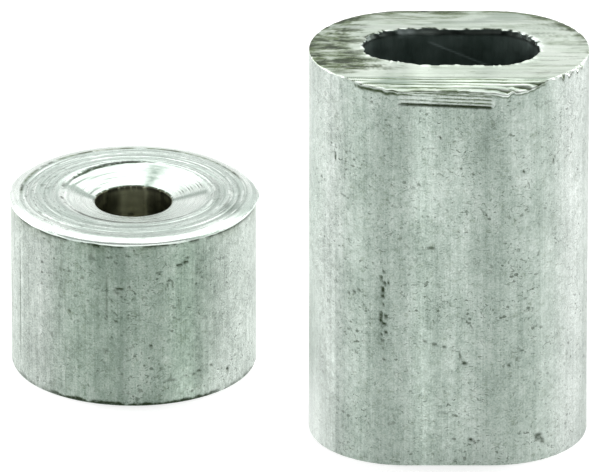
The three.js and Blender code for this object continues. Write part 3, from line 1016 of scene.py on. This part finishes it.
def turned_material():
    """Bright turned face: concentric rings of uneven tone and gloss."""
    s = Shader("turned aluminium")
    ring = s.noise(s.radius(8, 0.4), 3, 0.65)
    fine = s.noise(s.radius(26, 1.2), 2, 0.6)
    cloud = s.noise((0.8, 0.8, 0.8), 4, 0.6)
    speck = s.spread(s.noise((9, 9, 9), 3, 0.7), 0.6, 0.72)
    tone = s.total(-0.125, (fine, 0.35), (ring, 0.6), (cloud, 0.3))
    dark, middle, light = (0.4, 0.475, 0.43), (0.595, 0.68, 0.625), (0.765, 0.84, 0.785)
    colour = s.ramp(tone, (0.32, dark), (0.5, middle), (0.68, light))
    colour = s.mix(s.times(speck, 0.35), colour, GRIME_AND_SHADE)
    colour = paint(s, colour, 1.0)
    rough = s.spread(tone, 0.35, 0.65, 0.34, 0.2)
    height = s.total(0.0, (fine, 0.4), (ring, 0.7))
    return s.finish(colour, rough, height, 0.012)


def sawn_material():
    """The sawn end: smears straight across, and the torn layers at the front."""
    s = Shader("sawn aluminium")
    smear = s.noise((0.3, 4, 2), 4, 0.65)
    fine = s.noise((1.1, 17, 6), 3, 0.65)
    cloud = s.noise((0.5, 1.1, 1), 4, 0.6)
    tone = s.total(0.05, (fine, 0.17), (smear, 0.35), (cloud, 0.4))
    dark, middle, light = (0.36, 0.42, 0.345), (0.545, 0.615, 0.535), (0.72, 0.785, 0.71)
    plain = s.ramp(tone, (0.34, dark), (0.5, middle), (0.66, light))
    layers = s.noise((0.35, 7, 9), 3, 0.6)
    dark, middle, light = (0.24, 0.29, 0.225), (0.5, 0.575, 0.5), (0.76, 0.83, 0.75)
    torn = s.ramp(layers, (0.3, dark), (0.48, middle), (0.62, light))
    colour = s.mix(s.mask("torn"), plain, torn)
    speck = s.spread(s.noise((7, 8, 8), 3, 0.7), 0.62, 0.74)
    colour = s.mix(s.times(speck, 0.4), colour, GRIME_AND_SHADE)
    colour = paint(s, colour, 0.85)
    rough = s.spread(tone, 0.35, 0.65, 0.46, 0.3)
    height = s.total(0.0, (fine, 0.5), (smear, 0.5))
    return s.finish(colour, rough, height, 0.007)


def hole_material(name, dark, light, highlight_colour):
    """The wall of a slot or bore, painted dark for the shade inside the hole, with lengthwise lines,
    painted light in bands and patches, and dark marks.
    """
    s = Shader(name)
    line = s.noise((6, 6, 0.4), 3, 0.6)
    cloud = s.noise((1.2, 1.2, 0.8), 4, 0.6)
    tone = s.total(0.0, (cloud, 0.5), (line, 0.5))
    colour = s.ramp(tone, (0.35, dark), (0.7, light))
    colour = s.mix(1.0, colour, s.mask("band"), "MULTIPLY")
    colour = s.mix(s.times(s.mask("shine"), 0.9), colour, highlight_colour)
    colour = s.mix(s.times(s.mask("soil"), 0.8), colour, (0.02, 0.02, 0.015))
    rough = s.spread(cloud, 0.3, 0.7, 0.38, 0.55)
    return s.finish(colour, rough, line, 0.01)


# ---------------- stage, light and camera

FLOOR_HALF_WIDTH = 1.5
FLOOR_GREY = 0.5, 0.5, 0.5
FLOOR_GLOW = 0.68
# Name, azimuth and elevation in degrees, width and height in metres, power in watts.
SOFTBOXES = (("overhead", 180, 61, 0.7, 0.56, 1.5), ("right", 112, 12, 0.3, 0.4, 2.5),
             ("left", -114, 12, 0.3, 0.4, 2.8))
SOFTBOX_DISTANCE = 0.5
LIGHT_AIM = Vector((0, 0, 0.005))
# The world's strength grows from front to back, between these values of its direction's y.
WORLD_Y = -1, 0.35
WORLD_STRENGTH = 0.3, 0.8

CAMERA_ELEVATION = 23.5
CAMERA_LENS = 900.0
CAMERA_SENSOR = 36.0
VIEW_WIDTH = 27.27
LOOK_AT = Vector((0.14, 0.0, 7.44))


def plain_floor():
    """A pale floor, far wider than any view shows, that glows a little so it stays even."""
    half = FLOOR_HALF_WIDTH
    corners = [(x * half, y * half, 0) for x, y in ((-1, -1), (1, -1), (1, 1), (-1, 1))]
    mesh = bpy.data.meshes.new("floor")
    mesh.from_pydata(corners, [], [(0, 1, 2, 3)])
    floor = bpy.data.objects.new("floor", mesh)
    bpy.context.scene.collection.objects.link(floor)
    s = Shader("pale floor")
    s.fill(s.principled, Base_Color=(*FLOOR_GREY, 1), Roughness=0.9, Specular_IOR_Level=0.0,
           Emission_Color=(1, 1, 1, 1), Emission_Strength=FLOOR_GLOW)
    mesh.materials.append(s.material)


def aimed(name, data, aim, azimuth, elevation, distance):
    """A light or camera that looks at aim. Azimuth 0 is the camera's side and 90 is +X."""
    a, e = math.radians(azimuth), math.radians(elevation)
    back = Vector((math.sin(a) * math.cos(e), -math.cos(a) * math.cos(e), math.sin(e)))
    holder = bpy.data.objects.new(name, data)
    holder.location = aim + back * distance
    holder.rotation_mode = "QUATERNION"
    holder.rotation_quaternion = (-back).to_track_quat("-Z", "Y")
    bpy.context.scene.collection.objects.link(holder)
    return holder


def studio():
    """Three softboxes, and a world that is brighter behind the object."""
    for name, azimuth, elevation, width, height, power in SOFTBOXES:
        lamp = bpy.data.lights.new(name, "AREA")
        lamp.shape = "RECTANGLE"
        lamp.size, lamp.size_y, lamp.energy = width, height, power
        aimed(name, lamp, LIGHT_AIM, azimuth, elevation, SOFTBOX_DISTANCE)
    world = bpy.data.worlds.new("studio")
    bpy.context.scene.world = world
    world.use_nodes = True
    tree = world.node_tree
    direction = tree.nodes.new("ShaderNodeTexCoord").outputs["Generated"]
    split = tree.nodes.new("ShaderNodeSeparateXYZ")
    tree.links.new(direction, split.inputs[0])
    shade = tree.nodes.new("ShaderNodeMapRange")
    tree.links.new(split.outputs[1], shade.inputs[0])
    for socket, value in zip(shade.inputs[1:5], WORLD_Y + WORLD_STRENGTH):
        socket.default_value = value
    background = tree.nodes["Background"]
    tree.links.new(shade.outputs[0], background.inputs["Strength"])
    background.inputs["Color"].default_value = (1, 1, 1, 1)


def camera():
    """A camera far away with a very long lens, so that upright edges stay parallel."""
    distance = VIEW_WIDTH * MM * CAMERA_LENS / CAMERA_SENSOR
    data = bpy.data.cameras.new("camera")
    data.lens, data.sensor_width = CAMERA_LENS, CAMERA_SENSOR
    data.clip_start, data.clip_end = 0.1 * distance, 4 * distance
    bpy.context.scene.camera = aimed("camera", data, LOOK_AT * MM, 0, CAMERA_ELEVATION, distance)


# ---------------- the scene

bpy.context.scene.view_settings.view_transform = "Standard"
camera()
studio()
plain_floor()

ferrule_skin = skin_material("ferrule skin", (0.195, 0.25, 0.21), (0.405, 0.48, 0.427),
                             (0.63, 0.7, 0.65))
stop_skin = skin_material("stop skin", (0.14, 0.19, 0.15), (0.332, 0.412, 0.35),
                          (0.56, 0.635, 0.575))
sawn = sawn_material()
slot_wall = hole_material("slot wall", (0.17, 0.22, 0.2), (0.25, 0.31, 0.29), (0.6, 0.68, 0.68))
bore_wall = hole_material("bore wall", (0.06, 0.065, 0.034), (0.2, 0.205, 0.12), (0.98, 1.0, 0.76))

ferrule_materials = [ferrule_skin, sawn, slot_wall, sawn]
ferrule_body = piece_from_grid("ferrule_body", ferrule_surface(), FERRULE_SHEET, FERRULE_AXIS,
                               ferrule_materials)
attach(ferrule_body, "ferrule")
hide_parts("oval_ferrule")

stop_materials = [stop_skin, turned_material(), bore_wall, stop_skin]
stop_body = piece_from_grid("stop_body", stop_surface(), STOP_SHEET, STOP_AXIS, stop_materials)
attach(stop_body, "stop")
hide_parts("cable_stop")
